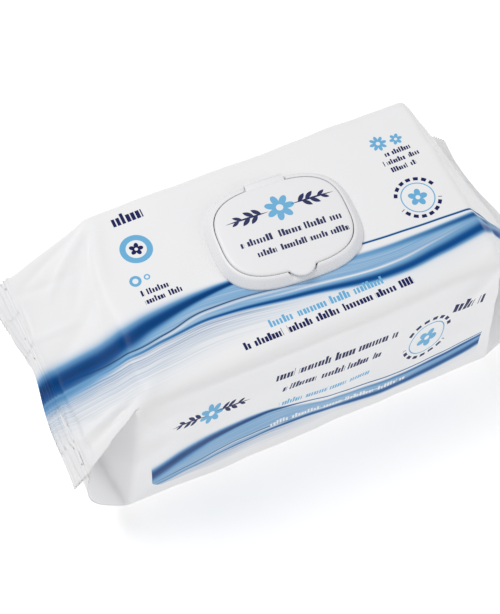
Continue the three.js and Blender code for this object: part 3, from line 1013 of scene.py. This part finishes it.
class PACK_OT_flip_top(bpy.types.Operator):
    """Mould the frame and the hinged lid"""
    bl_idname = "pack.flip_top"
    bl_label = "Flip-top"

    def execute(self, context):
        look = context.scene
        plain = plastic_material(Looks(look), "moulded plastic", False)
        printed = plastic_material(Looks(look), "printed lid plastic", True)
        for name, bm, material, body, node, slot in (
            ("lid_frame_moulding", build_lid_frame(), plain, "pack", "lid_base", "frame_plastic"),
            ("flip_lid_moulding", build_flip_lid(), printed, "lid", "flip_lid", "lid_plastic"),
        ):
            set_in_place(bm)
            finished(name, bm, material, body, node)
        return {"FINISHED"}


class Looks:
    """The settings of the wrap and of the mouldings, side by side."""

    def __init__(self, scene):
        self.wrap = scene.wipes_wrap
        self.moulding = scene.wipes_moulding


class PACK_OT_peel_label(bpy.types.Operator):
    """Lay the peel-off label over the cut in the film"""
    bl_idname = "pack.peel_label"
    bl_label = "Peel-off Label"

    def execute(self, context):
        inset = RIM_INSET + RIM_THICKNESS + 4.0
        low, high = 0.3, 0.6
        bm = swept([(HALF_LENGTH, low), (inset, low), (inset, high), (HALF_LENGTH, high)])
        edge = HALF_DEPTH * ((HALF_LENGTH - inset) / HALF_LENGTH) ** (HALF_LENGTH / HALF_DEPTH)
        for vert in bm.verts:
            x, y, _ = vert.co
            if y < -edge * 0.97 and abs(x) < PULL_TAB_HALF:
                vert.co.y = y - PULL_TAB_REACH * (1 - (x / PULL_TAB_HALF) ** 4)
        bmesh.ops.recalc_face_normals(bm, faces=bm.faces)
        set_in_place(bm)
        finished("peel_off_label", bm, label_material(context.scene.wipes_moulding), "pack", "peel_label")
        return {"FINISHED"}


def add_area_light(name, place, size, power):
    data = bpy.data.lights.new(name, "AREA")
    data.shape = "RECTANGLE"
    data.size, data.size_y = size
    data.energy = power
    lamp = bpy.data.objects.new(name, data)
    lamp.location = place
    lamp.rotation_euler = (Vector((0, 0, 0.05)) - Vector(place)).to_track_quat("-Z", "Y").to_euler()
    bpy.context.scene.collection.objects.link(lamp)


def add_camera():
    """The camera, turned and placed as the photograph's was."""
    a, e = CAMERA_AZIMUTH, CAMERA_ELEVATION
    back = Vector((math.sin(a) * math.cos(e), -math.cos(a) * math.cos(e), math.sin(e)))
    right = Vector((0, 0, 1)).cross(back).normalized()
    up = back.cross(right)
    c, s = math.cos(CAMERA_ROLL), math.sin(CAMERA_ROLL)
    right, up = c * right + s * up, c * up - s * right
    place = back * CAMERA_DISTANCE + right * CAMERA_SLIDE[0] + up * CAMERA_SLIDE[1]
    turn = Matrix((right, up, back)).transposed().to_4x4()
    data = bpy.data.cameras.new("camera")
    data.sensor_width = SENSOR
    data.lens = SENSOR * FOCAL_PIXELS / max(PICTURE_WIDTH, PICTURE_HEIGHT)
    camera = bpy.data.objects.new("camera", data)
    camera.matrix_world = Matrix.Translation(place * MM) @ turn
    bpy.context.scene.collection.objects.link(camera)
    bpy.context.scene.camera = camera


class PACK_OT_stage(bpy.types.Operator):
    """Set up the floor, the soft lights and the camera"""
    bl_idname = "pack.stage"
    bl_label = "Stage"

    def execute(self, context):
        look = context.scene.wipes_stage
        bm = bmesh.new()
        bmesh.ops.create_grid(bm, x_segments=1, y_segments=1, size=6)
        mesh = bpy.data.meshes.new("floor")
        bm.to_mesh(mesh)
        bm.free()
        material, tree, shader = blank_material("pale floor")
        shader.inputs["Base Color"].default_value = (0.9, 0.9, 0.905, 1)
        shader.inputs["Roughness"].default_value = 0.9
        shader.inputs["Specular IOR Level"].default_value = 0.1
        shader.inputs["Emission Color"].default_value = (1, 1, 1, 1)
        shader.inputs["Emission Strength"].default_value = FLOOR_GLOW
        mesh.materials.append(material)
        floor = bpy.data.objects.new("floor", mesh)
        context.scene.collection.objects.link(floor)
        world = bpy.data.worlds.new("studio")
        world.use_nodes = True
        context.scene.world = world
        world.node_tree.nodes["Background"].inputs["Color"].default_value = (1.0, 1.0, 1.0, 1)
        world.node_tree.nodes["Background"].inputs["Strength"].default_value = look.sky
        add_area_light("key", KEY_PLACE, KEY_SIZE, look.key_power)
        add_area_light("fill", FILL_PLACE, FILL_SIZE, look.key_power * FILL_SHARE)
        context.scene.view_settings.view_transform = "Standard"
        add_camera()
        return {"FINISHED"}


OPERATORS = (PACK_OT_film_wrap, PACK_OT_flip_top, PACK_OT_peel_label, PACK_OT_stage)


class PACK_PT_pieces(bpy.types.Panel):
    """Lists the pack's pieces"""
    bl_label = "Wipes Pack"
    bl_idname = "PACK_PT_pieces"
    bl_space_type = "VIEW_3D"
    bl_region_type = "UI"
    bl_category = "Wipes Pack"

    def draw(self, context):
        for operator in OPERATORS:
            self.layout.operator(operator.bl_idname)
        for settings in (context.scene.wipes_wrap, context.scene.wipes_moulding, context.scene.wipes_stage):
            for name in settings.__annotations__:
                self.layout.prop(settings, name)


CLASSES = (WrapSettings, MouldingSettings, StageSettings, *OPERATORS, PACK_PT_pieces)


def register():
    for cls in CLASSES:
        bpy.utils.register_class(cls)
    bpy.types.Scene.wipes_wrap = bpy.props.PointerProperty(type=WrapSettings)
    bpy.types.Scene.wipes_moulding = bpy.props.PointerProperty(type=MouldingSettings)
    bpy.types.Scene.wipes_stage = bpy.props.PointerProperty(type=StageSettings)


def unregister():
    del bpy.types.Scene.wipes_wrap, bpy.types.Scene.wipes_moulding, bpy.types.Scene.wipes_stage
    for cls in reversed(CLASSES):
        bpy.utils.unregister_class(cls)


def main():
    register()
    make_word_line_group()
    make_ring_group()
    make_petal_group()
    make_leaf_group()
    make_strand_group()
    make_band_group()
    make_film_grain_group()
    bpy.ops.pack.film_wrap()
    bpy.ops.pack.flip_top()
    bpy.ops.pack.peel_label()
    bpy.ops.pack.stage()


if __name__ == "__main__":
    main()
